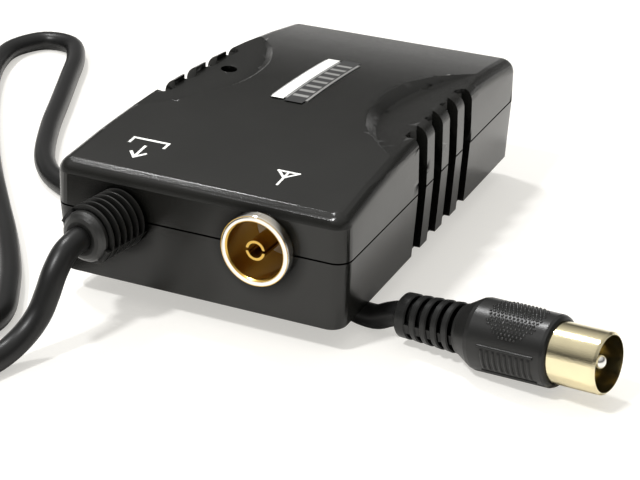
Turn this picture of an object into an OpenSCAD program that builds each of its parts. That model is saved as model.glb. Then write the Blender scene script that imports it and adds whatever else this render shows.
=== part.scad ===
// Aerial modulator box with its fixed coaxial lead. Millimetres, +Z up, +Y to the back.
// Origin: on the surface it stands on, under the middle of the box and its socket rim.

/* [Case] */
// Width of the box at the front
case_front_w = 52; // [48:0.5:56]
// Width of the box at the back
case_back_w = 46.1; // [43:0.1:48]
// Depth of the box, front to back
case_d = 78.6; // [76:0.2:81]
// Height of the lower shell up to the seam
lower_h = 11.5; // [11:0.1:12]
// Height of the shell at the middle of its arched top
crown_h = 22.0; // [21.6:0.1:23]
// How far the arched top falls at the front and back
crown_drop = 3.2; // [2.4:0.1:3.4]
// Wall thickness
wall = 2.0; // [1.8:0.1:2.1]
// Height of the rubber feet
foot_h = 4.3; // [4.3:0.1:5.5]

/* [Grips] */
// Width of each groove in the long sides
groove_w = 3.8; // [3.2:0.1:4.2]
// Depth of each groove
groove_depth = 1.8; // [1.4:0.1:1.9]
// Distance between neighbouring grooves
groove_pitch = 7.0; // [6.8:0.1:7.2]

/* [Sockets] */
// Bore of the aerial socket
socket_bore_d = 9.6; // [9.55:0.05:9.7]
// How far the aerial socket stands out of the front
socket_out = 2.0; // [1.8:0.1:2.4]
// Outside diameter of the plug's shell
plug_shell_d = 9.5; // [9.4:0.02:9.52]
// Centre pin diameter
pin_d = 2.4; // [2.3:0.05:2.5]

/* [Lead] */
// Outside diameter of the coaxial lead
lead_d = 4.0; // [3.6:0.1:4.0]

/* [Hidden] */
eps = 0.01;
cut = 2;
frame_shift = socket_out / 2;
hd = case_d / 2;
z_bot = foot_h;
z_seam = foot_h + lower_h;
z_crown = foot_h + crown_h;
crown_r = (hd * hd + crown_drop * crown_drop) / (2 * crown_drop);
corner_r = 2.5;
edge_r = 2.6;
lean = 0.86;
seam_h = 0.3;
seam_in = 0.35;
taper = atan((case_front_w - case_back_w) / 2 / case_d);
function half_w(y) = case_front_w / 2 - (y + hd) * (case_front_w - case_back_w) / 2 / case_d;
function top_z(y) = z_crown - crown_r + sqrt(crown_r * crown_r - y * y);
fine = 64;
round_n = 32;

// grips
group_y = 2.65;
rib_in = 2.0;
hook_in = 2.8;
hook_corner = 0.8;
hook_drop = 3.0;
hook_z = z_crown - hook_drop;
dish_r = 27;
dish_x = case_front_w / 2 + 13.9;
dish_y = 3.7;
dish_low_z = z_crown - 1.9;
dish_low_x = 12.5;
dish_tilt = 5;
dish_rim = [[-1.8, -2.2], [-0.9, -1.75], [0, -1], [0.8, -0.35], [1.5, -0.05], [2.6, 0.25]];
pad_in = 3.0;
pad_edge = 1.4;
pad_w = 3 * groove_pitch + groove_w + 2 * pad_edge;

// openings and their pieces
socket_x = 11.5;
socket_z = z_seam + 0.1;
socket_r = socket_bore_d / 2;
rim_r = 5.8;
neck_r = 5.4;
fit_gap = 0.05;
socket_back = 11;
flange_r = 6.0;
flange_t = 1.4;
mouth_bevel = 0.2;
contact_r = 1.65;
contact_out = 1.6;
gland_x = -13.3;
gland_r = 4.9;
gland_core_r = 3.3;
gland_lean = 7;
gland_len = 10.2;
gland_collar = 1.7;
gland_collar_r = 4.2;
gland_pitch = 1.5;
gland_root = 0.8;
gland_crest = 0.3;
gland_rings = 6;
gland_neck_r = 3.6;
gland_flange_r = 4.2;
gland_web_w = 2.6;
gland_web_turn = 35;
lead_r = lead_d / 2;

// screws, feet and board
screw_in = [5.15, 6.3];
screw_front = [half_w(-hd + screw_in[1]) - screw_in[0], -hd + screw_in[1]];
screw_back = [half_w(hd - screw_in[1]) - screw_in[0], hd - screw_in[1]];
pillar_r = 3.0;
screw_r = 1.15;
head_r = 2.4;
head_z = z_bot + 0.6;
head_t = 1.5;
board_lift = 3.2;
board_z = z_bot + board_lift;
board_t = 1.6;
board_top = board_z + board_t;
board_gap = 0.6;
board_half = half_w(group_y + pad_w / 2) - pad_in - board_gap;
board_mid_y = hd - screw_in[1] - pillar_r - board_gap;
board_front_half = screw_front[0] - pillar_r - board_gap;
board_back_half = screw_back[0] - pillar_r - board_gap;
support_in = [3.4, 9];
support_r = 1.8;
foot_in = [11, 11.8];
foot = [case_back_w / 2 - foot_in[0], hd - foot_in[1]];
foot_r = 3.5;

// rear socket and channel switch
av_x = -0.3;
av_z = board_top + 5.95;
av_w = 12;
av_h = 11.9;
av_deep = 11.2;
av_front_y = hd - wall - av_deep - 0.1;
av_shield_r = 4.75;
av_core_r = 4.4;
av_hole_r = 5.0;
sw_x = -11;
sw_z = board_top + 4.1;
sw_w = 7.6;
sw_deep = 4.2;
sw_body_y = hd - wall - sw_deep - 0.1;
sw_travel = 2.2;
knob_w = 3.0;

// trimmer
trim_y = 5.8;
trim_in = 5.7;
trim = [trim_in - half_w(trim_y), trim_y];
trim_hole_r = 1.45;
trim_r = 1.55;
rotor_r = 0.95;
rotor_gap = 0.07;

// plug on the end of the lead
plug_turn = 10;
plug_rise = 5;
plug_tail = 35.8;
plug_waist = 24.9;
plug_full = 21;
plug_nose = 8.7;
plug_front = 8.0;
plug_tail_r = 3.6;
plug_waist_r = 4.05;
plug_max_r = 5.7;
plug_nose_r = 5.6;
plug_core_r = 2.9;
plug_at = [66.8, -35.5, plug_max_r * cos(plug_rise) + plug_full * sin(plug_rise)];
slot_n = 5;
slot_w = 0.75;
slot_pitch = 2.0;
slot_web = 1.6;
slot_web_turn = 10;
shell_r = plug_shell_d / 2;
shell_t = 0.4;
shell_edge = 0.35;
shell_root_r = 4.1;
shell_root = 14.6;
pin_r = pin_d / 2;
pin_root = 18;
pin_in = 1.8;

module at_frame() {
    translate([0, frame_shift, 0]) children();
}
module both_sides() {
    children();
    mirror([1, 0, 0]) children();
}
module plan(inset, r) {
    f = case_front_w / 2 - inset - r;
    b = case_back_w / 2 - inset - r;
    d = hd - inset - r;
    offset(r = r, $fn = round_n) polygon([[-f, -d], [f, -d], [b, d], [-b, d]]);
}
module crown_body(grow) {
    translate([0, 0, z_crown - crown_r])
        rotate([0, 90, 0]) cylinder(r = crown_r + grow, h = 2 * case_front_w, center = true, $fn = 360);
}
module sharp_prism(inset, z0, z1) {
    f = case_front_w / 2 - inset;
    b = case_back_w / 2 - inset;
    d = hd - inset;
    translate([0, 0, z0]) linear_extrude(z1 - z0) polygon([[-f, -d], [f, -d], [b, d], [-b, d]]);
}
module along_y(x, y0, y1, z, r) {
    translate([x, y0, z]) rotate([-90, 0, 0]) cylinder(r = r, h = y1 - y0, $fn = fine);
}
module along_x(x0, x1, y, z, r) {
    translate([x0, y, z]) rotate([0, 90, 0]) cylinder(r = r, h = x1 - x0, $fn = fine);
}
module block(x0, x1, y0, y1, z0, z1) {
    translate([x0, y0, z0]) cube([x1 - x0, y1 - y0, z1 - z0]);
}
module on_side(y) {
    translate([half_w(y), y, 0]) rotate([0, 0, taper]) children();
}
module groove_cuts() {
    both_sides() for (i = [0:3]) on_side(group_y + (i - 1.5) * groove_pitch) {
        translate([-groove_depth, -groove_w / 2, z_bot - cut])
            cube([groove_depth + cut, groove_w, crown_h + 2 * cut]);
        translate([0, 0, hook_z]) linear_extrude(hook_drop + cut)
            polygon([[cut, -groove_w / 2], [cut, groove_w / 2], [hook_corner - hook_in, groove_w / 2],
                [-hook_in, groove_w / 2 - hook_corner], [-hook_in, hook_corner - groove_w / 2],
                [hook_corner - hook_in, -groove_w / 2]]);
    }
}
module groove_pads(z0, z1) {
    both_sides() on_side(group_y)
        translate([-pad_in, -pad_w / 2, z0]) cube([pad_in + cut, pad_w, z1 - z0]);
}
module dish_cut() {
    both_sides() intersection() {
        translate([dish_x, dish_y, z_crown]) rotate_extrude($fn = fine)
            polygon(concat([[0, cut], [0, -2 * cut], [dish_r - 1.8, -2 * cut]],
                [for (p = dish_rim) [dish_r + p[0], p[1]]], [[dish_r + 2.6, cut]]));
        translate([dish_low_x, 0, dish_low_z]) rotate([0, -dish_tilt, 0])
            translate([-cut, -hd, 0]) cube([case_front_w, case_d, 4 * edge_r]);
    }
}
module wall_openings() {
    along_y(socket_x, -hd - cut, -hd + wall + cut, socket_z, neck_r + fit_gap);
    along_y(socket_x, -hd + wall, -hd + wall + flange_t + 0.2, socket_z, flange_r + 0.15);
    along_y(gland_x, -hd - cut, -hd + wall + cut, z_seam, gland_neck_r + fit_gap);
    along_y(av_x, hd - wall - cut, hd + cut, av_z, av_hole_r);
    block(sw_x - 2.9, sw_x + 2.9, hd - wall - cut, hd + cut, sw_z - 1.8, sw_z + 1.8);
}
module screw_places() {
    both_sides() {
        translate([screw_front[0], screw_front[1], 0]) children();
        translate([screw_back[0], screw_back[1], 0]) children();
    }
}

module lower_shell() {
    color([0.09, 0.09, 0.085]) difference() {
        union() {
            difference() {
                union() {
                    hull() {
                        translate([0, 0, z_seam - seam_h - eps]) linear_extrude(eps) plan(0, corner_r);
                        translate([0, 0, z_bot]) linear_extrude(eps)
                            scale([1 - 2 * lean / case_front_w, 1]) plan(0, corner_r);
                    }
                    translate([0, 0, z_seam - seam_h - eps]) linear_extrude(seam_h + eps) plan(seam_in, corner_r);
                }
                difference() {
                    sharp_prism(wall, z_bot + wall, z_seam + cut);
                    groove_pads(z_bot, z_seam + 2 * cut);
                }
            }
            screw_places() translate([0, 0, z_bot + eps]) cylinder(r = pillar_r, h = lower_h - eps, $fn = fine);
            both_sides() for (y = [support_in[1] - board_mid_y, board_mid_y - support_in[1]])
                translate([board_half - support_in[0], y, z_bot + eps])
                    cylinder(r = support_r, h = board_lift - eps, $fn = fine);
        }
        screw_places() {
            translate([0, 0, z_bot - cut]) cylinder(r = head_r + 0.2, h = head_z + head_t - z_bot + cut, $fn = fine);
            cylinder(r = screw_r + 0.2, h = z_seam + cut, $fn = fine);
        }
        groove_cuts();
        wall_openings();
    }
}
module upper_shell() {
    color([0.1, 0.1, 0.095]) difference() {
        union() {
            difference() {
                union() {
                    hull() {
                        translate([0, 0, z_seam]) linear_extrude(eps) plan(0, corner_r);
                        for (i = [-4:4])
                            both_sides() translate([half_w(i * (hd - edge_r) / 4) - edge_r, i * (hd - edge_r) / 4,
                                top_z(i * (hd - edge_r) / 4) - edge_r]) sphere(r = edge_r, $fn = 24);
                    }
                }
                difference() {
                    intersection() {
                        sharp_prism(wall, z_seam - cut, z_crown + cut);
                        crown_body(-wall);
                    }
                    groove_pads(z_seam - 2 * cut, z_crown + cut);
                    both_sides() translate([dish_x, dish_y, dish_low_z - wall])
                        cylinder(r = dish_r + wall, h = 10, $fn = fine);
                }
                difference() {
                    dish_cut();
                    both_sides() on_side(group_y)
                        translate([-rib_in, -1.5 * groove_pitch, z_seam]) cube([rib_in + cut, 3 * groove_pitch, crown_h]);
                }
            }
            intersection() {
                screw_places() translate([0, 0, z_seam]) cylinder(r = pillar_r, h = crown_h, $fn = fine);
                crown_body(-wall / 2);
            }
        }
        screw_places() translate([0, 0, z_seam - cut]) cylinder(r = screw_r + fit_gap, h = 6.2, $fn = fine);
        groove_cuts();
        wall_openings();
        difference() {
            block(-4.5, 2.5, -5.2, 15.6, z_crown - cut, z_crown + cut);
            crown_body(-0.5);
        }
        translate([trim[0], trim[1], z_crown - 3 * cut]) cylinder(r = trim_hole_r, h = 4 * cut, $fn = fine);
    }
}
module badge_plate() {
    color([0.85, 0.85, 0.84]) difference() {
        intersection() {
            block(-4.4, 2.4, -5.1, 15.5, z_crown - cut, z_crown + cut);
            crown_body(0.12);
        }
        crown_body(-0.48);
    }
}
module case_screws() {
    color([0.55, 0.55, 0.53]) screw_places() difference() {
        union() {
            translate([0, 0, head_z]) cylinder(r = head_r, h = head_t, $fn = fine);
            translate([0, 0, head_z]) cylinder(r = screw_r, h = lower_h + 3, $fn = fine);
        }
        translate([0, 0, head_z]) cube([3.2, 0.7, 1.4], center = true);
        translate([0, 0, head_z]) cube([0.7, 3.2, 1.4], center = true);
    }
}
module rubber_feet() {
    color([0.06, 0.06, 0.06]) both_sides() {
        for (y = [-foot[1], foot[1]])
            translate([foot[0], y, 0]) cylinder(r1 = foot_r - 0.4, r2 = foot_r, h = foot_h, $fn = fine);
    }
}

module aerial_socket_shell() {
    color([0.75, 0.6, 0.3]) difference() {
        union() {
            along_y(socket_x, -hd - socket_out, -hd, socket_z, rim_r);
            along_y(socket_x, -hd - eps, -hd + socket_back, socket_z, neck_r);
            along_y(socket_x, -hd + wall + fit_gap, -hd + wall + flange_t, socket_z, flange_r);
        }
        along_y(socket_x, -hd - socket_out - cut, -hd + socket_back + cut, socket_z, socket_r);
        translate([socket_x, -hd - socket_out - eps, socket_z]) rotate([-90, 0, 0])
            cylinder(r1 = socket_r + mouth_bevel, r2 = socket_r, h = mouth_bevel, $fn = fine);
    }
}
module aerial_socket_insulator() {
    color([0.9, 0.9, 0.86]) difference() {
        along_y(socket_x, -hd + 8, -hd + socket_back, socket_z, socket_r - 0.02);
        along_y(socket_x, -hd, -hd + socket_back + cut, socket_z, contact_r + 0.02);
    }
}
module aerial_socket_contact() {
    color([0.8, 0.7, 0.45]) difference() {
        union() {
            along_y(socket_x, -hd - contact_out, -hd + socket_back + 1, socket_z, contact_r);
            along_y(socket_x, -hd + socket_back, can_front - 0.1, socket_z, 0.6);
        }
        along_y(socket_x, -hd - contact_out - cut, -hd + 7, socket_z, 1.22);
        block(socket_x - 3, socket_x + 3, -hd - contact_out - cut, -hd + 4.5, socket_z - 0.25, socket_z + 0.25);
    }
}

module gland_outside() {
    translate([gland_x, -hd, z_seam]) rotate([0, 0, -gland_lean]) children();
}
gland_outline = concat([[0, -1], [gland_core_r, -1]],
    [for (i = [0:gland_rings - 1]) each let (u = i * gland_pitch + 0.1) [[gland_core_r, u],
        [gland_r, u + (gland_root - gland_crest) / 2], [gland_r, u + (gland_root + gland_crest) / 2],
        [gland_core_r, u + gland_root]]],
    [[gland_core_r, gland_len - gland_collar], [gland_collar_r, gland_len - gland_collar],
        [gland_collar_r, gland_len - 1.1], [gland_collar_r - 0.3, gland_len - 0.6],
        [gland_collar_r - 0.8, gland_len - 0.2], [gland_collar_r - 1.4, gland_len], [0, gland_len]]);
module cable_gland() {
    color([0.08, 0.08, 0.075]) difference() {
        union() {
            along_y(gland_x, -hd - 0.3, -hd + wall + 4.5, z_seam, gland_neck_r);
            along_y(gland_x, -hd + wall + fit_gap, -hd + wall + 1.4, z_seam, gland_flange_r);
            difference() {
                gland_outside() union() {
                    rotate([90, 0, 0]) rotate_extrude($fn = fine) polygon(gland_outline);
                    for (a = [gland_web_turn, gland_web_turn + 180]) rotate([0, a, 0])
                        block(2.4, gland_r - 0.25, -gland_len + 1, 0.5, -gland_web_w / 2, gland_web_w / 2);
                }
                block(gland_x - 10, gland_x + 10, -hd, -hd + 10, z_seam - 10, z_seam + 10);
            }
        }
        along_y(gland_x, -hd - 0.2, -hd + 10, z_seam, lead_r + 0.04);
        gland_outside() along_y(0, -gland_len - cut, 0.3, 0, lead_r + 0.04);
        translate([gland_x, -hd, z_seam]) sphere(r = lead_r + 0.12, $fn = fine);
    }
}
module lead_inside() {
    color([0.07, 0.07, 0.07]) union() {
        along_y(gland_x, -hd, -24, z_seam, lead_r);
        translate([gland_x, -hd, z_seam]) sphere(r = lead_r + 0.03, $fn = fine);
        gland_outside() along_y(0, -gland_len, 0, 0, lead_r);
        along_y(gland_x, -25, can_front - 0.1, z_seam, 0.6);
    }
}

// lead: route points, then the tube round them
function unit(v) = v / norm(v);
function spline(p, q, r, s, t) = 0.5 * (2 * q + (r - p) * t + (2 * p - 5 * q + 4 * r - s) * t * t
    + (3 * q - p - 3 * r + s) * t * t * t);
function route(p, n) = let (m = len(p) - 1) [
    for (i = [0:m - 1], k = [0:n - 1]) let (a = i == 0 ? 2 * p[0] - p[1] : p[i - 1],
        d = i == m - 1 ? 2 * p[m] - p[m - 1] : p[i + 2]) spline(a, p[i], p[i + 1], d, k / n),
    p[m]];
function tangent(c, i, first, last) = i == 0 ? first : i == len(c) - 1 ? last : unit(c[i + 1] - c[i - 1]);
function ring(o, t, r, n) = let (s = unit(cross(t, [0, 0, 1])), u = cross(s, t)) [
    for (k = [0:n - 1]) let (a = 360 * (k + 0.5) / n - 90, q = o + r * (cos(a) * s + sin(a) * u))
        [q[0], q[1], max(q[2], 0)]];
module tube(c, first, last, r, n) {
    m = len(c);
    pts = [for (i = [0:m - 1]) each ring(c[i], tangent(c, i, first, last), r, n)];
    faces = concat(
        [for (k = [1:n - 2]) [0, k + 1, k]],
        [for (i = [0:m - 2], k = [0:n - 1]) [i * n + k, i * n + (k + 1) % n, (i + 1) * n + k]],
        [for (i = [0:m - 2], k = [0:n - 1]) [i * n + (k + 1) % n, (i + 1) * n + (k + 1) % n, (i + 1) * n + k]],
        [for (k = [1:n - 2]) [(m - 1) * n, (m - 1) * n + k, (m - 1) * n + k + 1]]);
    polyhedron(points = pts, faces = faces, convexity = 10);
}
tube_n = 10;
coil_n = 6;
gland_dir = [-sin(gland_lean), -cos(gland_lean), 0];
gland_end = [gland_x, -hd, z_seam] + gland_len * gland_dir;
plug_dir = [cos(plug_turn) * cos(plug_rise), -sin(plug_turn) * cos(plug_rise), sin(plug_rise)];
plug_tail_point = plug_at - plug_tail * plug_dir;
coil_c = [-50, -98.9];
coil_r = 28;
coil_pitch = 4.5;
coil_turns = 5.75;
coil_low = lead_r - 0.4;
coil_high = coil_low + coil_pitch;
tie_lift = 0.7;
lead_start_points = [gland_end, gland_end + 1.2 * gland_dir, [-14.9, -53.4, 15.0], [-15.1, -56.0, 12.8],
    [-15.4, -57.8, 9.9], [-16.0, -59.5, 7.0], [-17.0, -62.2, 4.5], [-18.3, -66.2, 2.7],
    [-19.9, -72.3, 2.0], [-21.4, -80, 1.8], [-22, -88, coil_low], [-22, -94.9, coil_low]];
lead_end_points = [[-46, -70.9, coil_high], [-43.5, -70.9, coil_high - 0.3], [-38.5, -70.4, 4.2],
    [-33.2, -68.2, 2.7], [-28.9, -64.0, 2.1], [-26.9, -58.5, 2.0], [-27.6, -52.9, 2.0], [-31.7, -45.4, 2.0],
    [-36.2, -38.6, 2.0], [-43.2, -29.5, 2.0], [-51.4, -19.8, 2.0], [-61.8, -7.3, 2.0], [-72.0, 5.8, 2.0],
    [-81.6, 19.2, 2.0], [-90.0, 32.4, 2.0], [-94.9, 42.6, 2.0], [-96.4, 50.4, 2.0], [-93.2, 57.2, 2.0],
    [-86.4, 57.4, 2.0], [-80.9, 50.6, 2.0], [-75.9, 40.4, 2.0], [-70.2, 28.4, 2.0], [-64.5, 16.3, 2.0],
    [-58.2, 4.8, 2.0], [-53.2, -1.8, 2.0], [-47.6, -6.2, 2.0], [-38.0, -10.4, 2.0], [-25.5, -13.4, 2.0],
    [-12.0, -13.6, 2.0], [0.5, -12.2, 2.0], [8.0, -11.4, 2.0], [13.6, -13.0, 2.0], [17.2, -17.4, 2.0],
    [18.6, -22.6, 2.0], [21.6, -26.8, 2.0], [26.2, -28.4, 2.3], [28.8, -28.85, 3.5],
    plug_tail_point - 1.0 * plug_dir, plug_tail_point];
function coil_radius(t) = coil_r - coil_pitch * min(t, coil_turns - t);
function coil_rise(t) = let (s = max(0, min(1, (t - coil_turns / 2) / 0.5 + 0.5))) s * s * (3 - 2 * s);
function tie_bump(a) = let (w = ((a % 360) + 360) % 360 - 180) tie_lift * exp(-pow(w / 16, 2));
function coil_point(t) = let (a = -360 * t) [coil_c[0] + coil_radius(t) * cos(a),
    coil_c[1] + coil_radius(t) * sin(a),
    coil_low + (coil_high - coil_low) * coil_rise(t) + tie_bump(a)];
coil_points = concat([[coil_c[0] + coil_r, coil_c[1] + 4, coil_low]],
    [for (i = [0:coil_turns * 24]) coil_point(i / 24)],
    [[coil_c[0] + 4, coil_c[1] + coil_r, coil_high]]);
coil_gap = min([for (i = [0:len(coil_points) - 1]) for (j = [i + 12:1:len(coil_points) - 1])
    norm(coil_points[i] - coil_points[j])]) - lead_d;
echo(coil_gap = coil_gap);

module rf_lead() {
    color([0.07, 0.07, 0.07]) tube(route(lead_start_points, 3), gland_dir, [0, -1, 0], lead_r, tube_n);
}
module rf_lead_coil() {
    color([0.07, 0.07, 0.07]) tube(coil_points, [0, -1, 0], [1, 0, 0], lead_r, coil_n);
}
module rf_lead_end() {
    color([0.07, 0.07, 0.07]) tube(route(lead_end_points, 2), [1, 0, 0], plug_dir, lead_r, tube_n);
}
module lead_tie() {
    color([0.12, 0.12, 0.12]) difference() {
        block(coil_c[0] - 30.1, coil_c[0] - 13.5, coil_c[1] - 1.5, coil_c[1] + 1.5, 0, 9.15);
        block(coil_c[0] - 29.6, coil_c[0] - 14.0, coil_c[1] - 2, coil_c[1] + 2, 0.45, 8.7);
    }
}

// plug: made along +X with its tip at x = 0, then laid in place
module on_plug() {
    translate(plug_at) rotate([0, -plug_rise, -plug_turn]) children();
}
slots_start = -plug_waist - slot_w - (slot_n - 1) * slot_pitch;
plug_outline = concat([[0, -plug_tail], [plug_tail_r - 0.3, -plug_tail], [plug_tail_r, -plug_tail + 0.3]],
    [for (i = [0:slot_n - 1]) each let (x = slots_start + i * slot_pitch,
        r = plug_tail_r + (i + 0.5) * (plug_waist_r - plug_tail_r) / slot_n)
        [[r, x - 0.2], [r - 0.2, x], [plug_core_r, x], [plug_core_r, x + slot_w], [r - 0.2, x + slot_w],
            [r, x + slot_w + 0.2]]],
    [[plug_waist_r + 0.05, -plug_waist + 0.6], [plug_max_r - 0.15, -plug_full - 0.7], [plug_max_r, -plug_full],
        [plug_nose_r, -plug_nose], [plug_nose_r - 0.2, -plug_front - 0.25],
        [plug_nose_r - 0.6, -plug_front], [0, -plug_front]]);
module plug_body() {
    color([0.11, 0.11, 0.105]) on_plug() difference() {
        union() {
            rotate([0, 90, 0]) rotate_extrude($fn = fine) polygon(plug_outline);
            for (a = [slot_web_turn, slot_web_turn + 180]) rotate([a, 0, 0])
                block(-plug_tail + 1, -plug_waist + 0.2, -plug_tail_r + 0.1, -2, -slot_web / 2, slot_web / 2);
        }
        along_x(-shell_root, -plug_front + cut, 0, 0, shell_root_r + 0.02);
        along_x(-pin_root, -shell_root + cut, 0, 0, pin_r + 0.02);
    }
}
module plug_shell() {
    color([0.86, 0.8, 0.6]) on_plug() difference() {
        union() {
            along_x(-shell_root + 0.02, shell_t - plug_front, 0, 0, shell_root_r);
            along_x(-plug_front + 0.02, -shell_edge, 0, 0, shell_r);
            translate([-shell_edge - eps, 0, 0]) rotate([0, 90, 0])
                cylinder(r1 = shell_r, r2 = shell_r - shell_edge, h = shell_edge + eps, $fn = fine);
        }
        along_x(-shell_root - cut, cut, 0, 0, shell_root_r - shell_t);
        along_x(shell_t - plug_front, cut, 0, 0, shell_r - shell_t);
    }
}
module plug_insulator() {
    color([0.25, 0.15, 0.1]) on_plug() difference() {
        along_x(-shell_root + 0.05, -shell_root + 4, 0, 0, shell_root_r - shell_t - 0.02);
        along_x(-shell_root - cut, -shell_root + 6, 0, 0, pin_r + 0.02);
    }
}
module plug_pin() {
    color([0.8, 0.8, 0.78]) on_plug() union() {
        along_x(-pin_root + 0.1, -pin_in, 0, 0, pin_r);
        translate([-pin_in, 0, 0]) sphere(r = pin_r, $fn = fine);
    }
}

module circuit_board() {
    color([0.35, 0.25, 0.12]) union() {
        block(-board_front_half, board_front_half, -hd + wall + 3.3, -board_mid_y, board_z, board_top);
        block(-board_half, board_half, -board_mid_y, board_mid_y, board_z, board_top);
        block(-board_back_half, board_back_half, board_mid_y, hd - wall - board_gap, board_z, board_top);
    }
}
can_x = board_half - 5.4;
can_back = av_front_y - 14;
can_front = -hd + 17.3;
can_h = 9.4;
can_t = 0.5;
can_top = board_top + can_h;
coil_hole = 2;
coil_y = can_front + 10;
module modulator_can() {
    color([0.7, 0.7, 0.68]) difference() {
        block(-can_x, can_x, can_front, can_back, board_top, can_top);
        block(can_t - can_x, can_x - can_t, can_front + can_t, can_back - can_t, board_top - cut, can_top + cut);
    }
}
module can_lid() {
    color([0.75, 0.75, 0.73]) difference() {
        block(-can_x, can_x, can_front, can_back, can_top, can_top + can_t);
        for (x = [-can_x / 2, can_x / 2])
            translate([x, coil_y, can_top - cut]) cylinder(r = coil_hole, h = 3 * cut, $fn = fine);
    }
}
chip = [19, 6.5, 3.6];
chip_y = can_back - 9.7;
module modulator_chip() {
    color([0.08, 0.08, 0.08])
        block(-chip[0] / 2, chip[0] / 2, chip_y - chip[1] / 2, chip_y + chip[1] / 2, board_top, board_top + chip[2]);
}
former_r = 2.4;
former_h = 7;
former_bore_r = 1.5;
module tuning_coils() {
    color([0.75, 0.45, 0.2]) for (x = [-can_x / 2, can_x / 2]) translate([x, coil_y, board_top]) difference() {
        cylinder(r = former_r, h = former_h, $fn = fine);
        translate([0, 0, former_h / 2]) cylinder(r = former_bore_r, h = former_h, $fn = fine);
    }
}
crystal_size = [11, 4.2, 3.6];
module crystal() {
    color([0.75, 0.75, 0.75]) translate([-crystal_size[0] / 2, can_back + 2.5, board_top]) cube(crystal_size);
}
regulator_at = [2 - can_x, can_back + 8.5];
regulator_r = 2.4;
module voltage_regulator() {
    color([0.08, 0.08, 0.08]) translate([regulator_at[0], regulator_at[1], board_top]) difference() {
        cylinder(r = regulator_r, h = 2 * regulator_r, $fn = fine);
        translate([-2 * regulator_r, regulator_r / 2, -cut]) cube(4 * regulator_r);
    }
}
capacitor_r = 3.1;
capacitor_h = 9.5;
capacitor_x = [9.3, 16.2];
module capacitors() {
    color([0.1, 0.12, 0.3]) for (x = capacitor_x)
        translate([x, can_back + 8.6, board_top]) cylinder(r = capacitor_r, h = capacitor_h, $fn = fine);
}

module trimmer_body() {
    color([0.9, 0.88, 0.8]) difference() {
        translate([trim[0], trim[1], board_top]) cylinder(r = trim_r, h = 11.5, $fn = fine);
        translate([trim[0], trim[1], board_top + 5]) cylinder(r = rotor_r + rotor_gap, h = 10, $fn = fine);
    }
}
module trimmer_rotor() {
    color([0.8, 0.65, 0.35]) difference() {
        translate([trim[0], trim[1], board_top + 5.1]) cylinder(r = rotor_r, h = 6.6, $fn = fine);
        translate([trim[0], trim[1], board_top + 11.7]) cube([3, 0.45, 1.2], center = true);
    }
}

module av_socket_body() {
    color([0.1, 0.1, 0.1]) difference() {
        block(av_x - av_w / 2, av_x + av_w / 2, av_front_y, hd - wall - 0.1, board_top, board_top + av_h);
        along_y(av_x, av_front_y + 2, hd, av_z, av_shield_r + 0.02);
    }
}
module av_socket_shield() {
    color([0.78, 0.78, 0.76]) difference() {
        along_y(av_x, av_front_y + 2.02, hd - 0.2, av_z, av_shield_r);
        along_y(av_x, av_front_y + 1, hd + cut, av_z, av_core_r + 0.02);
    }
}
module av_pin_places() {
    for (p = [[-2.4, 0.9], [2.4, 0.9], [-1.2, 2.6], [1.2, 2.6], [-0.9, -0.9], [0.9, -0.9], [-2.6, -1.4], [2.6, -1.4]])
        translate([av_x + p[0], 0, av_z + p[1]]) children();
}
module av_socket_insulator() {
    color([0.07, 0.07, 0.07]) difference() {
        along_y(av_x, av_front_y + 2.02, hd - 0.5, av_z, av_core_r);
        av_pin_places() along_y(0, av_front_y, hd + cut, 0, 0.5);
        block(av_x - 1, av_x + 1, hd - 5, hd, av_z - 3.6, av_z - 2.4);
    }
}
module av_socket_contacts() {
    color([0.8, 0.7, 0.4]) av_pin_places() along_y(0, av_front_y + 2.02, av_front_y + 8, 0, 0.46);
}
module switch_body() {
    color([0.12, 0.12, 0.12]) difference() {
        block(sw_x - sw_w / 2, sw_x + sw_w / 2, sw_body_y, hd - wall - 0.1, board_top, board_top + 7.2);
        block(sw_x - 3.5, sw_x + 3.5, sw_body_y + 2.4, hd, sw_z - 2.2, sw_z + 2.2);
    }
}
module switch_slider() {
    x0 = sw_x - sw_travel / 2;
    color([0.14, 0.14, 0.14]) union() {
        block(x0 - 2.3, x0 + 2.3, sw_body_y + 2.5, hd - wall - 0.2, sw_z - 2.1, sw_z + 2.1);
        block(x0 - knob_w / 2, x0 + knob_w / 2, hd - wall - 0.3, hd - 0.2, sw_z - knob_w / 2, sw_z + knob_w / 2);
    }
}

at_frame() lower_shell();
at_frame() upper_shell();
at_frame() badge_plate();
at_frame() case_screws();
at_frame() rubber_feet();
at_frame() aerial_socket_shell();
at_frame() aerial_socket_insulator();
at_frame() aerial_socket_contact();
at_frame() cable_gland();
at_frame() lead_inside();
at_frame() rf_lead();
at_frame() rf_lead_coil();
at_frame() rf_lead_end();
at_frame() lead_tie();
at_frame() plug_body();
at_frame() plug_shell();
at_frame() plug_insulator();
at_frame() plug_pin();
at_frame() circuit_board();
at_frame() modulator_can();
at_frame() can_lid();
at_frame() modulator_chip();
at_frame() tuning_coils();
at_frame() crystal();
at_frame() voltage_regulator();
at_frame() capacitors();
at_frame() trimmer_body();
at_frame() trimmer_rotor();
at_frame() av_socket_body();
at_frame() av_socket_shield();
at_frame() av_socket_insulator();
at_frame() av_socket_contacts();
at_frame() switch_body();
at_frame() switch_slider();
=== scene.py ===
import bpy
import bmesh
import math
from mathutils import Vector, Matrix


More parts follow.
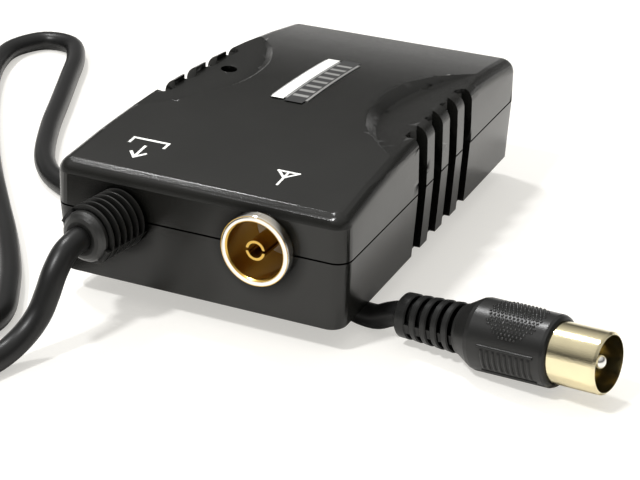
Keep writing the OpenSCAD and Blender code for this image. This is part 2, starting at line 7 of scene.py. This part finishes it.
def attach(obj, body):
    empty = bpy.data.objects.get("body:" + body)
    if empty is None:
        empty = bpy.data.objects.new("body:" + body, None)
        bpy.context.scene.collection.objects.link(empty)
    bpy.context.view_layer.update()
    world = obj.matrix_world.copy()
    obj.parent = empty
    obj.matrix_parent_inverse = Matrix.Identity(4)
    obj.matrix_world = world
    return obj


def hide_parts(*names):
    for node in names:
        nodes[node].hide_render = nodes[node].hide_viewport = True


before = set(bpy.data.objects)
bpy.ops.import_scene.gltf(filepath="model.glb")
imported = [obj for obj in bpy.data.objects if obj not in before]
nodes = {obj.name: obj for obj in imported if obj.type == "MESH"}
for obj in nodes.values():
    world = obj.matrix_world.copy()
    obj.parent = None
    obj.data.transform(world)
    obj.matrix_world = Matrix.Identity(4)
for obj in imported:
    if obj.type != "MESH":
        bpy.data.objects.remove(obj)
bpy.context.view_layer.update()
scene = bpy.context.scene
scene.view_settings.view_transform = "Standard"

# the case's own frame, in millimetres: x from its centre line, y from its mid-depth, z from the floor
MM = 0.001
SQUARE_MM_A_SQUARE_M = 1e6
SHIFT_Y = 1.0
HALF_DEPTH = 39.3
SEAM_Z = 15.8
CROWN_Z = 26.3
CROWN_DROP = 3.2
CROWN_R = (HALF_DEPTH ** 2 + CROWN_DROP ** 2) / (2 * CROWN_DROP)


# a place in the case's frame, taken to the shared frame in metres
def point(x, y, z):
    return Vector((x * MM, (y + SHIFT_Y) * MM, z * MM))


def case_y(shared_y):
    return shared_y / MM - SHIFT_Y


def top_z(y):
    return CROWN_Z - CROWN_R + math.sqrt(CROWN_R ** 2 - y * y)


def crown_normal(y):
    return Vector((0, y, math.sqrt(CROWN_R ** 2 - y * y))).normalized()


# camera
CAMERA_AT = (136.326, -272.817, 142.429)
CAMERA_YAW = math.radians(26.143)
CAMERA_PITCH = math.radians(25.339)
CAMERA_ROLL = math.radians(0.484)
CAMERA_LENS = 107.69
CAMERA_SENSOR = 36
CAMERA_NEAR = 0.01
CAMERA_FAR = 20


def make_camera():
    data = bpy.data.cameras.new("camera")
    data.sensor_fit = "HORIZONTAL"
    data.sensor_width = CAMERA_SENSOR
    data.lens = CAMERA_LENS
    data.clip_start = CAMERA_NEAR
    data.clip_end = CAMERA_FAR
    camera = bpy.data.objects.new("camera", data)
    scene.collection.objects.link(camera)
    scene.camera = camera
    ahead = Vector((-math.sin(CAMERA_YAW) * math.cos(CAMERA_PITCH),
                    math.cos(CAMERA_YAW) * math.cos(CAMERA_PITCH),
                    -math.sin(CAMERA_PITCH)))
    level = Vector((math.cos(CAMERA_YAW), math.sin(CAMERA_YAW), 0))
    upright = level.cross(ahead)
    right = math.cos(CAMERA_ROLL) * level + math.sin(CAMERA_ROLL) * upright
    up = -math.sin(CAMERA_ROLL) * level + math.cos(CAMERA_ROLL) * upright
    place = Matrix((right, up, -ahead)).transposed().to_4x4()
    place.translation = point(*CAMERA_AT)
    camera.matrix_world = place


make_camera()

# the plug's own frame: +X runs along it, 0 at its tip
PLUG_TURN = math.radians(10)
PLUG_RISE = math.radians(5)
PLUG_R = 5.7
PLUG_FULL = 21.0
PLUG_TAIL = 35.8
plug_dir = Vector((math.cos(PLUG_TURN) * math.cos(PLUG_RISE),
                   -math.sin(PLUG_TURN) * math.cos(PLUG_RISE),
                   math.sin(PLUG_RISE)))
plug_at = Vector((66.8, -35.5, PLUG_R * math.cos(PLUG_RISE) + PLUG_FULL * math.sin(PLUG_RISE)))
plug_frame = (Matrix.Translation(point(*plug_at)) @ Matrix.Rotation(-PLUG_TURN, 4, "Z")
              @ Matrix.Rotation(-PLUG_RISE, 4, "Y") @ Matrix.Diagonal((MM, MM, MM, 1)))

# the lead: its route is the CAD route, kept one radius clear of the floor
LEAD_R = 2.0
LEAD_SIDES = 20
GLAND_X = -13.3
GLAND_LENGTH = 10.2
GLAND_LEAN = math.radians(7)
COIL_X = -50
COIL_Y = -98.9
COIL_R = 28
COIL_TURNS = 5.75
COIL_PITCH = 4.5
COIL_LOW = LEAD_R - 0.4
COIL_HIGH = COIL_LOW + COIL_PITCH
CLIMB_TURNS = 0.5
TIE_HUMP = 0.7
TIE_HUMP_DEGREES = 16
STEPS_A_SPAN = 5
STEPS_A_TURN = 48
gland_dir = Vector((-math.sin(GLAND_LEAN), -math.cos(GLAND_LEAN), 0))
gland_end = Vector((GLAND_X, -HALF_DEPTH, SEAM_Z)) + GLAND_LENGTH * gland_dir
lead_start = [gland_end, gland_end + 1.2 * gland_dir, (-14.9, -53.4, 15.0), (-15.1, -56.0, 12.8),
              (-15.4, -57.8, 9.9), (-16.0, -59.5, 7.0), (-17.0, -62.2, 4.5), (-18.3, -66.2, 2.7),
              (-19.9, -72.3, 2.0), (-21.4, -80, 1.8), (-22, -88, COIL_LOW), (-22, -94.9, COIL_LOW)]
lead_end = [(-46, -70.9, COIL_HIGH), (-43.5, -70.9, COIL_HIGH - 0.3), (-38.5, -70.4, 4.2),
            (-33.2, -68.2, 2.7), (-28.9, -64.0, 2.1), (-26.9, -58.5, 2.0), (-27.6, -52.9, 2.0),
            (-31.7, -45.4, 2.0), (-36.2, -38.6, 2.0), (-43.2, -29.5, 2.0), (-51.4, -19.8, 2.0),
            (-61.8, -7.3, 2.0), (-72.0, 5.8, 2.0), (-81.6, 19.2, 2.0), (-90.0, 32.4, 2.0),
            (-94.9, 42.6, 2.0), (-96.4, 50.4, 2.0), (-93.2, 57.2, 2.0), (-86.4, 57.4, 2.0),
            (-80.9, 50.6, 2.0), (-75.9, 40.4, 2.0), (-70.2, 28.4, 2.0), (-64.5, 16.3, 2.0),
            (-58.2, 4.8, 2.0), (-53.2, -1.8, 2.0), (-47.6, -6.2, 2.0), (-38.0, -10.4, 2.0),
            (-25.5, -13.4, 2.0), (-12.0, -13.6, 2.0), (0.5, -12.2, 2.0), (8.0, -11.4, 2.0),
            (13.6, -13.0, 2.0), (17.2, -17.4, 2.0), (18.6, -22.6, 2.0), (21.6, -26.8, 2.0),
            (26.2, -28.4, 2.3), (28.8, -28.85, 3.5),
            plug_at - (PLUG_TAIL + 1.0) * plug_dir, plug_at - PLUG_TAIL * plug_dir]


def spline(p, q, r, s, t):
    bend = 2 * p - 5 * q + 4 * r - s
    return 0.5 * (2 * q + (r - p) * t + bend * t * t + (3 * q - p - 3 * r + s) * t ** 3)


def route(points, steps):
    p = [Vector(v) for v in points]
    last = len(p) - 1
    curve = []
    for i in range(last):
        before = 2 * p[0] - p[1] if i == 0 else p[i - 1]
        after = 2 * p[last] - p[last - 1] if i == last - 1 else p[i + 2]
        curve += [spline(before, p[i], p[i + 1], after, j / steps) for j in range(steps)]
    return curve + [p[last]]


# the turns wind inwards low down, climb to the upper layer and wind out again, with a hump at the tie
def coil_point(turn):
    angle = math.radians(-360 * turn)
    radius = COIL_R - COIL_PITCH * min(turn, COIL_TURNS - turn)
    climb = max(0, min(1, (turn - COIL_TURNS / 2) / CLIMB_TURNS + 0.5))
    from_tie = (-360 * turn) % 360 - 180
    layer_z = COIL_LOW + (COIL_HIGH - COIL_LOW) * climb * climb * (3 - 2 * climb)
    hump = TIE_HUMP * math.exp(-(from_tie / TIE_HUMP_DEGREES) ** 2)
    return Vector((COIL_X + radius * math.cos(angle), COIL_Y + radius * math.sin(angle), layer_z + hump))


def tube(name, path, radius, sides):
    bm = bmesh.new()
    angles = [2 * math.pi * k / sides for k in range(sides)]
    side = Vector((1, 0, 0))
    rings = []
    for i, p in enumerate(path):
        along = (path[min(i + 1, len(path) - 1)] - path[max(i - 1, 0)]).normalized()
        side = (side - along * side.dot(along)).normalized()
        other = along.cross(side)
        rings.append([bm.verts.new(p + radius * (math.cos(a) * side + math.sin(a) * other)) for a in angles])
    for p, q in zip(rings, rings[1:]):
        for k in range(sides):
            bm.faces.new((p[k], p[(k + 1) % sides], q[(k + 1) % sides], q[k]))
    bm.faces.new(list(reversed(rings[0])))
    bm.faces.new(rings[-1])
    mesh = bpy.data.meshes.new(name)
    bm.to_mesh(mesh)
    bm.free()
    for face in mesh.polygons:
        face.use_smooth = len(face.vertices) == 4
    piece = bpy.data.objects.new(name, mesh)
    scene.collection.objects.link(piece)
    return piece


coil = [coil_point(i / STEPS_A_TURN) for i in range(int(COIL_TURNS * STEPS_A_TURN) + 1)]
lead_points = route(lead_start, STEPS_A_SPAN) + coil + route(lead_end, STEPS_A_SPAN)
line = [point(p[0], p[1], max(p[2], LEAD_R)) for p in lead_points]
lead = tube("coax_lead", line, LEAD_R * MM, LEAD_SIDES)
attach(lead, "box")
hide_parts("rf_lead", "rf_lead_coil", "rf_lead_end")

# materials: mottled colour and gloss, a fine bump, and painted shade that darkens colour and gloss in grooves
# and hollows, out to a reach in millimetres where one is given
MOTTLE_SCALE = 90
MOTTLE_DETAIL = 4
MOTTLE_FROM = 0.3
MOTTLE_TO = 0.7
GLOSS_SPREAD = 0.06
LEAST_ROUGH = 0.02
GROOVE_SHADE_POWER = 2.2
GROOVE_SHADE_SAMPLES = 8
BUMP_DETAIL = 3
BUMP_DEPTH = 0.06
STREAK_SHRINK = 0.03


def math_node(tree, operation, value):
    node = tree.nodes.new("ShaderNodeMath")
    node.operation = operation
    node.inputs[1].default_value = value
    return node


def noise_node(tree, place, scale, detail):
    noise = tree.nodes.new("ShaderNodeTexNoise")
    noise.inputs["Scale"].default_value = scale
    noise.inputs["Detail"].default_value = detail
    tree.links.new(place, noise.inputs["Vector"])
    return noise.outputs["Fac"]


def mottled_color(tree, patches, color, vary):
    ramp = tree.nodes.new("ShaderNodeValToRGB")
    stops = ((MOTTLE_FROM, 1 - vary), (MOTTLE_TO, 1 + vary))
    for stop, (position, level) in zip(ramp.color_ramp.elements, stops):
        stop.position = position
        stop.color = (color[0] * level, color[1] * level, color[2] * level, 1)
    tree.links.new(patches, ramp.inputs["Fac"])
    return ramp.outputs["Color"]


def mottled_gloss(tree, shader, patches, rough):
    gloss = tree.nodes.new("ShaderNodeMapRange")
    gloss.inputs["To Min"].default_value = max(LEAST_ROUGH, rough - GLOSS_SPREAD)
    gloss.inputs["To Max"].default_value = rough + GLOSS_SPREAD
    tree.links.new(patches, gloss.inputs["Value"])
    tree.links.new(gloss.outputs["Result"], shader.inputs["Roughness"])


# painted shade: ambient occlusion darkens the base colour and the specular level in grooves and hollows
# within the given reach
def paint_groove_shade(tree, shader, color, spec, shade_reach):
    openness = tree.nodes.new("ShaderNodeAmbientOcclusion")
    openness.inputs["Distance"].default_value = shade_reach * MM
    openness.samples = GROOVE_SHADE_SAMPLES
    power = math_node(tree, "POWER", GROOVE_SHADE_POWER)
    tree.links.new(openness.outputs["AO"], power.inputs[0])
    shade = tree.nodes.new("ShaderNodeMix")
    shade.data_type = "RGBA"
    shade.inputs["A"].default_value = (0, 0, 0, 1)
    tree.links.new(power.outputs[0], shade.inputs["Factor"])
    tree.links.new(color, shade.inputs["B"])
    tree.links.new(shade.outputs["Result"], shader.inputs["Base Color"])
    level = math_node(tree, "MULTIPLY", spec)
    tree.links.new(power.outputs[0], level.inputs[0])
    tree.links.new(level.outputs[0], shader.inputs["Specular IOR Level"])


# a bump of fine grain, or of streaks along one axis
def fine_bump(tree, shader, place, strength, scale, streak_axis):
    if streak_axis is not None:
        shrink = tree.nodes.new("ShaderNodeMapping")
        factors = [1.0, 1.0, 1.0]
        factors[streak_axis] = STREAK_SHRINK
        shrink.inputs["Scale"].default_value = factors
        tree.links.new(place, shrink.inputs["Vector"])
        place = shrink.outputs["Vector"]
    bump = tree.nodes.new("ShaderNodeBump")
    bump.inputs["Strength"].default_value = strength
    bump.inputs["Distance"].default_value = BUMP_DEPTH * MM
    tree.links.new(noise_node(tree, place, scale, BUMP_DETAIL), bump.inputs["Height"])
    tree.links.new(bump.outputs["Normal"], shader.inputs["Normal"])


def material(name, color, rough, bump, bump_scale,
             metallic=0.0, streak_axis=None, vary=0.08, spec=0.5, shade_reach=0.0):
    mat = bpy.data.materials.new(name)
    mat.use_nodes = True
    tree = mat.node_tree
    shader = tree.nodes["Principled BSDF"]
    shader.inputs["Metallic"].default_value = metallic
    shader.inputs["Specular IOR Level"].default_value = spec
    place = tree.nodes.new("ShaderNodeTexCoord").outputs["Object"]
    patches = noise_node(tree, place, MOTTLE_SCALE, MOTTLE_DETAIL)
    mottled_gloss(tree, shader, patches, rough)
    mottled = mottled_color(tree, patches, color, vary)
    if shade_reach > 0:
        paint_groove_shade(tree, shader, mottled, spec, shade_reach)
    else:
        tree.links.new(mottled, shader.inputs["Base Color"])
    fine_bump(tree, shader, place, bump, bump_scale, streak_axis)
    return mat


# the case, the gland and the plug get painted shade in their grooves and hollows
materials = {
    "case": material("case_black", (0.010, 0.010, 0.0088), 0.2, 0.3, 4600, shade_reach=3.0, spec=0.38),
    "rubber": material("rubber_black", (0.014, 0.014, 0.013), 0.7, 0.3, 2500),
    "lead": material("lead_black", (0.008, 0.008, 0.0078), 0.36, 0.12, 1200, spec=0.3),
    "gland": material("gland_black", (0.012, 0.012, 0.011), 0.36, 0.5, 3000, shade_reach=1.2),
    "plug": material("plug_black", (0.012, 0.012, 0.0115), 0.3, 0.2, 3400, shade_reach=1.4, spec=0.36),
    "plug_gloss": material("plug_black_gloss", (0.011, 0.011, 0.0105), 0.2, 0.05, 3400),
    "gold": material("socket_gold", (0.62, 0.40, 0.10), 0.24, 0.08, 1500, metallic=1),
    "pale_gold": material("shell_pale_gold", (0.82, 0.73, 0.48), 0.16, 0.15, 5000, metallic=1, streak_axis=0),
    "nickel": material("bright_nickel", (0.80, 0.79, 0.76), 0.15, 0.05, 2000, metallic=1),
    "tin": material("tinplate", (0.62, 0.62, 0.60), 0.32, 0.3, 3000, metallic=1, streak_axis=1),
    "steel": material("screw_steel", (0.45, 0.45, 0.44), 0.35, 0.15, 4000, metallic=1),
    "white": material("white_plastic", (0.75, 0.74, 0.70), 0.4, 0.1, 2000),
    "brown": material("dark_insulator", (0.035, 0.018, 0.008), 0.35, 0.1, 2000),
    "board": material("board_brown", (0.22, 0.13, 0.05), 0.5, 0.3, 1500, streak_axis=1, vary=0.15),
    "chip": material("chip_black", (0.02, 0.02, 0.02), 0.5, 0.2, 4000),
    "copper": material("copper_winding", (0.65, 0.30, 0.10), 0.3, 0.5, 6000, metallic=1, streak_axis=1),
    "sleeve": material("capacitor_sleeve", (0.02, 0.03, 0.12), 0.25, 0.05, 2000),
    "badge": material("badge_silver", (0.72, 0.72, 0.70), 0.3, 0.2, 6000, metallic=0.85, streak_axis=1),
    "print": material("white_print", (0.86, 0.86, 0.82), 0.55, 0.1, 6000),
    "ink": material("dark_ink", (0.03, 0.03, 0.03), 0.45, 0.1, 6000),
}
node_materials = {
    "lower_shell": "case", "upper_shell": "case", "badge_plate": "badge", "case_screws": "steel",
    "rubber_feet": "rubber", "aerial_socket_shell": "gold", "aerial_socket_insulator": "white",
    "aerial_socket_contact": "gold", "cable_gland": "gland", "lead_inside": "lead", "lead_tie": "rubber",
    "plug_body": "plug", "plug_shell": "pale_gold", "plug_insulator": "brown", "plug_pin": "nickel",
    "circuit_board": "board", "modulator_can": "tin", "can_lid": "tin", "modulator_chip": "chip",
    "tuning_coils": "copper", "crystal": "tin", "voltage_regulator": "chip", "capacitors": "sleeve",
    "trimmer_body": "white", "trimmer_rotor": "gold", "av_socket_body": "plug",
    "av_socket_shield": "nickel", "av_socket_insulator": "chip", "av_socket_contacts": "gold",
    "switch_body": "plug", "switch_slider": "case",
}
for node, mat in node_materials.items():
    nodes[node].data.materials.clear()
    nodes[node].data.materials.append(materials[mat])
lead.data.materials.append(materials["lead"])


def add(name, bm, mat, smooth=True):
    mesh = bpy.data.meshes.new(name)
    bm.to_mesh(mesh)
    bm.free()
    mesh.materials.append(materials[mat])
    for face in mesh.polygons:
        face.use_smooth = smooth
    piece = bpy.data.objects.new(name, mesh)
    scene.collection.objects.link(piece)
    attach(piece, "box")
    return piece


# the two shells again, from the CAD solids, with softly broken edges and smooth shading
WELD = 0.002
FLAT_ANGLE = math.radians(0.02)
EDGE_ANGLE = math.radians(28)
CUTS = ((0, -25, 25, 2.5), (1, -38.5, 39.5, 2.5), (2, 6, 26, 3))
CUT_OFFSET = 0.137
CROWN_ANGLE = math.radians(3)
CROWN_GAP = 0.12
AGREEING = 0.9
STRAY = 0.95
ALIKE = 0.993
SMOOTHINGS = 6
SHORTEST_NORMAL = 0.5


def bevelled(piece, width, segments):
    bevel = piece.modifiers.new("edges", "BEVEL")
    bevel.width = width * MM
    bevel.segments = segments
    bevel.limit_method = "ANGLE"
    bevel.angle_limit = EDGE_ANGLE
    bevel.use_clamp_overlap = True
    mesh = bpy.data.meshes.new_from_object(piece.evaluated_get(bpy.context.evaluated_depsgraph_get()))
    piece.modifiers.clear()
    return mesh


# cuts at even steps, so that no long thin face carries a wrong normal far
def cut_across(bm):
    for axis, low, high, step in CUTS:
        at = low + CUT_OFFSET
        while at < high:
            place = [0, 0, 0]
            place[axis] = at * MM
            across = [0, 0, 0]
            across[axis] = 1
            everything = bm.verts[:] + bm.edges[:] + bm.faces[:]
            bmesh.ops.bisect_plane(bm, geom=everything, plane_co=place, plane_no=across)
            at += step
    bm.verts.index_update()


# a normal for each vertex, led by its largest faces, and the true arch on the crown
def face_led_normals(bm):
    led = [Vector() for _ in bm.verts]
    on_crown = {}
    for face in bm.faces:
        middle = face.calc_center_median()
        y = case_y(middle.y)
        weight = (face.calc_area() * SQUARE_MM_A_SQUARE_M) ** 2
        upright = face.normal.dot(crown_normal(y)) > math.cos(CROWN_ANGLE)
        crown = upright and abs(middle.z / MM - top_z(y)) < CROWN_GAP
        for v in face.verts:
            led[v.index] += face.normal * weight
            if crown:
                on_crown[v.index] = crown_normal(case_y(v.co.y))
    return [on_crown.get(i, n.normalized()) for i, n in enumerate(led)], on_crown


# strays are turned to their neighbours, then each normal is averaged with those close to it
def smooth_normals(bm):
    normals, on_crown = face_led_normals(bm)
    near = [[e.other_vert(v).index for e in v.link_edges] for v in bm.verts]
    for i, n in enumerate(normals):
        mean = sum((normals[j] for j in near[i]), Vector()) / max(1, len(near[i]))
        if mean.length > AGREEING and n.dot(mean.normalized()) < STRAY and i not in on_crown:
            normals[i] = mean.normalized()
    for _ in range(SMOOTHINGS):
        averaged = []
        for i, n in enumerate(normals):
            alike = [normals[j] for j in near[i] if normals[j].dot(n) > ALIKE]
            averaged.append(n if i in on_crown else sum(alike, n).normalized())
        normals = averaged
    return [n if n.length > SHORTEST_NORMAL else crown_normal(0) for n in normals]


def softened(node, width, segments):
    bm = bmesh.new()
    bm.from_mesh(nodes[node].data)
    bmesh.ops.remove_doubles(bm, verts=bm.verts, dist=WELD * MM)
    bmesh.ops.dissolve_limit(bm, angle_limit=FLAT_ANGLE, verts=bm.verts, edges=bm.edges)
    piece = add(node + "_soft", bm, "case")
    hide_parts(node)
    piece.data = bevelled(piece, width, segments)
    bm = bmesh.new()
    bm.from_mesh(piece.data)
    cut_across(bm)
    normals = smooth_normals(bm)
    bm.to_mesh(piece.data)
    bm.free()
    piece.data.normals_split_custom_set_from_vertices(normals)


softened("upper_shell", width=0.3, segments=3)
softened("lower_shell", width=0.22, segments=2)

# flat strips laid on the arched top, in short steps that follow it
STRIP_STEP = 1.0
PRINT_LIFT = 0.012


def strips(name, lines, width, mat="print", lift=PRINT_LIFT):
    bm = bmesh.new()
    for points in lines:
        for (x0, y0), (x1, y1) in zip(points, points[1:]):
            start = Vector((x0, y0))
            run = Vector((x1 - x0, y1 - y0))
            side = Vector((-run.y, run.x)).normalized() * width / 2
            cap = run.normalized() * width / 2
            count = max(1, int(run.length / STRIP_STEP))
            for i in range(count):
                a = start + run * i / count
                b = start + run * (i + 1) / count
                if i == 0:
                    a = a - cap
                if i == count - 1:
                    b = b + cap
                corners = (a - side, b - side, b + side, a + side)
                bm.faces.new([bm.verts.new(point(q.x, q.y, top_z(q.y) + lift)) for q in corners])
    add(name, bm, mat, smooth=False)


# printed marks: an arrow out to the lead, and an aerial
strips("mark_output", [[(-14, -30.5), (-14, -33.9)],
                       [(-15.3, -32.6), (-14, -34.0), (-12.7, -32.6)],
                       [(-17.2, -28.4), (-10.8, -28.4)],
                       [(-17.2, -29.9), (-17.2, -28.4)],
                       [(-10.8, -29.9), (-10.8, -28.4)]], width=0.5)
strips("mark_aerial", [[(11.4, -33.4), (11.4, -29.6)],
                       [(9.6, -29.4), (11.4, -31.2), (13.2, -29.4), (9.6, -29.4)]], width=0.42)

# badge dressing: a white band beside a dark panel with a silver frame and plain bars
BADGE_FRONT = -4.7
BADGE_BACK = 15.1
BAND_X = -3.0
PANEL_LEFT = -1.5
PANEL_RIGHT = 2.1
PANEL_X = (PANEL_LEFT + PANEL_RIGHT) / 2
PANEL_FRAME = 0.15
BARS = 8
BAR_PITCH = 2.4
BAR_FRONT = -3.4
BAR_INSET = 0.85
bar_places = [BAR_FRONT + BAR_PITCH * i for i in range(BARS)]
strips("badge_band", [[(BAND_X, BADGE_FRONT), (BAND_X, BADGE_BACK)]], width=2.3, lift=0.135)
strips("badge_panel", [[(PANEL_X, BADGE_FRONT), (PANEL_X, BADGE_BACK)]],
       width=PANEL_RIGHT - PANEL_LEFT - 2 * PANEL_FRAME, mat="ink", lift=0.13)
strips("badge_bars", [[(PANEL_LEFT + BAR_INSET, y), (PANEL_RIGHT - BAR_INSET, y)] for y in bar_places],
       width=0.95, mat="badge", lift=0.15)

# places on the plug's body, by distance from its tip and angle around it
PLUG_ROLL = math.radians(-15)
BODY_NARROWING = 0.1
BODY_TAPER = 12.3
PAD_X = -14.4
PAD_HALF = 4.5


def on_body(x, angle, lift=0.0):
    r = PLUG_R - BODY_NARROWING * (x + PLUG_FULL) / BODY_TAPER + lift
    return plug_frame @ Vector((x, -r * math.cos(angle), r * math.sin(angle)))


def out_of_body(angle):
    return (plug_frame.to_3x3() @ Vector((0, -math.cos(angle), math.sin(angle)))).normalized()


# dotted thumb patch on top of the plug
DOTS_ALONG = 8
DOTS_AROUND = 9
DOT_PITCH = 0.66
DOT_ROW_SHARE = 0.87
DOT_R = 0.25
DOT_SINK = 0.06
DOT_FLATNESS = 0.9
PATCH_HALF = 4.9


def make_dots():
    bm = bmesh.new()
    flatten = Matrix.Diagonal((1, 1, DOT_FLATNESS, 1))
    for i in range(-DOTS_ALONG, DOTS_ALONG + 1):
        for j in range(-DOTS_AROUND, DOTS_AROUND + 1):
            along = i * DOT_PITCH + (DOT_PITCH / 2 if j % 2 else 0)
            around = j * DOT_PITCH * DOT_ROW_SHARE
            if (along / PAD_HALF) ** 2 + (around / PATCH_HALF) ** 2 > 1:
                continue
            angle = math.radians(90) + PLUG_ROLL + around / PLUG_R
            facing = out_of_body(angle).to_track_quat("Z", "Y").to_matrix().to_4x4()
            place = Matrix.Translation(on_body(PAD_X + along, angle, -DOT_SINK)) @ facing @ flatten
            bmesh.ops.create_icosphere(bm, subdivisions=2, radius=DOT_R * MM, matrix=place)
    add("plug_dots", bm, "plug_gloss")


make_dots()

# side pads of fine ribs that run around the plug, each pad with a raised rim above and below
RIBS = 9
RIB_PITCH = 1.0
RIB_SPAN = math.radians(42)
RIB_STEPS = 12
RIB_SECTION = ((-0.33, 0), (-0.2, 0.18), (0, 0.24), (0.2, 0.18), (0.33, 0))
RIB_SINK = 0.05
RIB_END_SLOPE = 10
RIMS = ((24, 0.24), (-24, 0.2))
RIM_HALF = 4.7
RIM_STEPS = 24
RIM_SECTION = ((-1, -0.04), (-0.6, 0.13), (0, 0.2), (0.6, 0.13), (1, -0.04))


def rib_rows(bm, x, middle):
    rows = []
    for k in range(RIB_STEPS + 1):
        t = k / RIB_STEPS - 0.5
        angle = middle + t * RIB_SPAN
        height = min(1, (0.5 - abs(t)) * RIB_END_SLOPE)
        rows.append([bm.verts.new(on_body(x + dx, angle, h * height - RIB_SINK)) for dx, h in RIB_SECTION])
    return rows


def rim_rows(bm, angle, half_width):
    rows = []
    for k in range(RIM_STEPS + 1):
        x = PAD_X - RIM_HALF + 2 * RIM_HALF * k / RIM_STEPS
        rows.append([bm.verts.new(on_body(x, angle + share * half_width / PLUG_R, h))
                     for share, h in RIM_SECTION])
    return rows


def skin(bm, rows):
    for p, q in zip(rows, rows[1:]):
        for k in range(len(p) - 1):
            bm.faces.new((p[k], p[k + 1], q[k + 1], q[k]))


def make_side_ribs():
    bm = bmesh.new()
    for side in (0, math.pi):
        for i in range(RIBS):
            skin(bm, rib_rows(bm, PAD_X + (i - (RIBS - 1) / 2) * RIB_PITCH, PLUG_ROLL + side))
        for degrees, half_width in RIMS:
            skin(bm, rim_rows(bm, PLUG_ROLL + side + math.radians(degrees), half_width))
    bmesh.ops.recalc_face_normals(bm, faces=bm.faces)
    add("plug_side_ribs", bm, "plug")


make_side_ribs()

# aerial socket: bright rim face and the thread on its barrel, as depths behind the face and radii
SOCKET_X = 11.5
SOCKET_Z = SEAM_Z + 0.1
FACE_Y = -HALF_DEPTH - 2.0
FACE_PROFILE = ((0.16, 5.83), (0.03, 5.78), (-0.012, 5.66), (-0.012, 5.12), (0.03, 5.02), (0.1, 4.94))
THREADS = 4
THREAD_START = 0.3
THREAD_PITCH = 0.42
THREAD_PROFILE = ((0, 5.79), (0.14, 5.9), (0.28, 5.79))
TURN_STEPS = 96


def turned(name, profile):
    bm = bmesh.new()
    rings = []
    for i in range(TURN_STEPS):
        a = 2 * math.pi * i / TURN_STEPS
        ring = []
        for depth, r in profile:
            place = point(SOCKET_X + r * math.cos(a), FACE_Y + depth, SOCKET_Z + r * math.sin(a))
            ring.append(bm.verts.new(place))
        rings.append(ring)
    for p, q in zip(rings, rings[1:] + rings[:1]):
        for k in range(len(profile) - 1):
            bm.faces.new((p[k], q[k], q[k + 1], p[k + 1]))
    bmesh.ops.recalc_face_normals(bm, faces=bm.faces)
    add(name, bm, "nickel")


turned("socket_rim_face", FACE_PROFILE)
turned("socket_thread", [(THREAD_START + THREAD_PITCH * i + depth, r)
                         for i in range(THREADS) for depth, r in THREAD_PROFILE])

# floor: pale, and with a glow that only the camera sees, so that it shows white and keeps its shadows
FLOOR_HALF = 3.0
FLOOR_COLOR = (0.9, 0.885, 0.85, 1)
FLOOR_ROUGH = 0.6
FLOOR_SPEC = 0.2
GLOW_COLOR = (1, 0.98, 0.93, 1)
GLOW_STRENGTH = 1.35
GLOW_SHARE = 0.38


def floor_material():
    mat = bpy.data.materials.new("floor_white")
    mat.use_nodes = True
    tree = mat.node_tree
    shader = tree.nodes["Principled BSDF"]
    shader.inputs["Base Color"].default_value = FLOOR_COLOR
    shader.inputs["Roughness"].default_value = FLOOR_ROUGH
    shader.inputs["Specular IOR Level"].default_value = FLOOR_SPEC
    glow = tree.nodes.new("ShaderNodeEmission")
    glow.inputs["Color"].default_value = GLOW_COLOR
    glow.inputs["Strength"].default_value = GLOW_STRENGTH
    ray = tree.nodes.new("ShaderNodeLightPath")
    share = math_node(tree, "MULTIPLY", GLOW_SHARE)
    tree.links.new(ray.outputs["Is Camera Ray"], share.inputs[0])
    mix = tree.nodes.new("ShaderNodeMixShader")
    tree.links.new(share.outputs[0], mix.inputs["Fac"])
    tree.links.new(shader.outputs[0], mix.inputs[1])
    tree.links.new(glow.outputs[0], mix.inputs[2])
    tree.links.new(mix.outputs[0], tree.nodes["Material Output"].inputs["Surface"])
    return mat


def make_floor():
    s = FLOOR_HALF
    mesh = bpy.data.meshes.new("floor")
    mesh.from_pydata([(-s, -s, 0), (s, -s, 0), (s, s, 0), (-s, s, 0)], [], [(0, 1, 2, 3)])
    mesh.materials.append(floor_material())
    floor = bpy.data.objects.new("floor", mesh)
    scene.collection.objects.link(floor)


make_floor()

# world: strength by height, bright at the horizon and overhead, and dim between them
SKY_COLOR = (1, 0.99, 0.97, 1)
SKY = ((0.0, 0.85), (0.15, 0.5), (0.26, 0.04), (1.0, 1.0))


def make_world():
    world = bpy.data.worlds.new("world")
    scene.world = world
    world.use_nodes = True
    tree = world.node_tree
    background = tree.nodes["Background"]
    background.inputs["Color"].default_value = SKY_COLOR
    place = tree.nodes.new("ShaderNodeTexCoord")
    height = tree.nodes.new("ShaderNodeSeparateXYZ")
    tree.links.new(place.outputs["Generated"], height.inputs[0])
    ramp = tree.nodes.new("ShaderNodeValToRGB")
    for position, _ in SKY[1:-1]:
        ramp.color_ramp.elements.new(position)
    for stop, (position, level) in zip(ramp.color_ramp.elements, SKY):
        stop.position = position
        stop.color = (level, level, level, 1)
    tree.links.new(height.outputs["Z"], ramp.inputs["Fac"])
    tree.links.new(ramp.outputs["Color"], background.inputs["Strength"])


make_world()


# square lamps, in metres and watts
def lamp(name, place, target, size, power):
    data = bpy.data.lights.new(name, "AREA")
    data.shape = "RECTANGLE"
    data.size = size
    data.size_y = size
    data.energy = power
    light = bpy.data.objects.new(name, data)
    scene.collection.objects.link(light)
    light.location = place
    light.rotation_euler = (Vector(target) - Vector(place)).to_track_quat("-Z", "Y").to_euler()


lamp("key", place=(-0.20, -0.50, 0.80), target=(0, 0, 0), size=0.09, power=6)
lamp("second", place=(-0.38, 0.17, 0.85), target=(0, 0, 0.01), size=0.10, power=4.2)

bpy.context.view_layer.update()
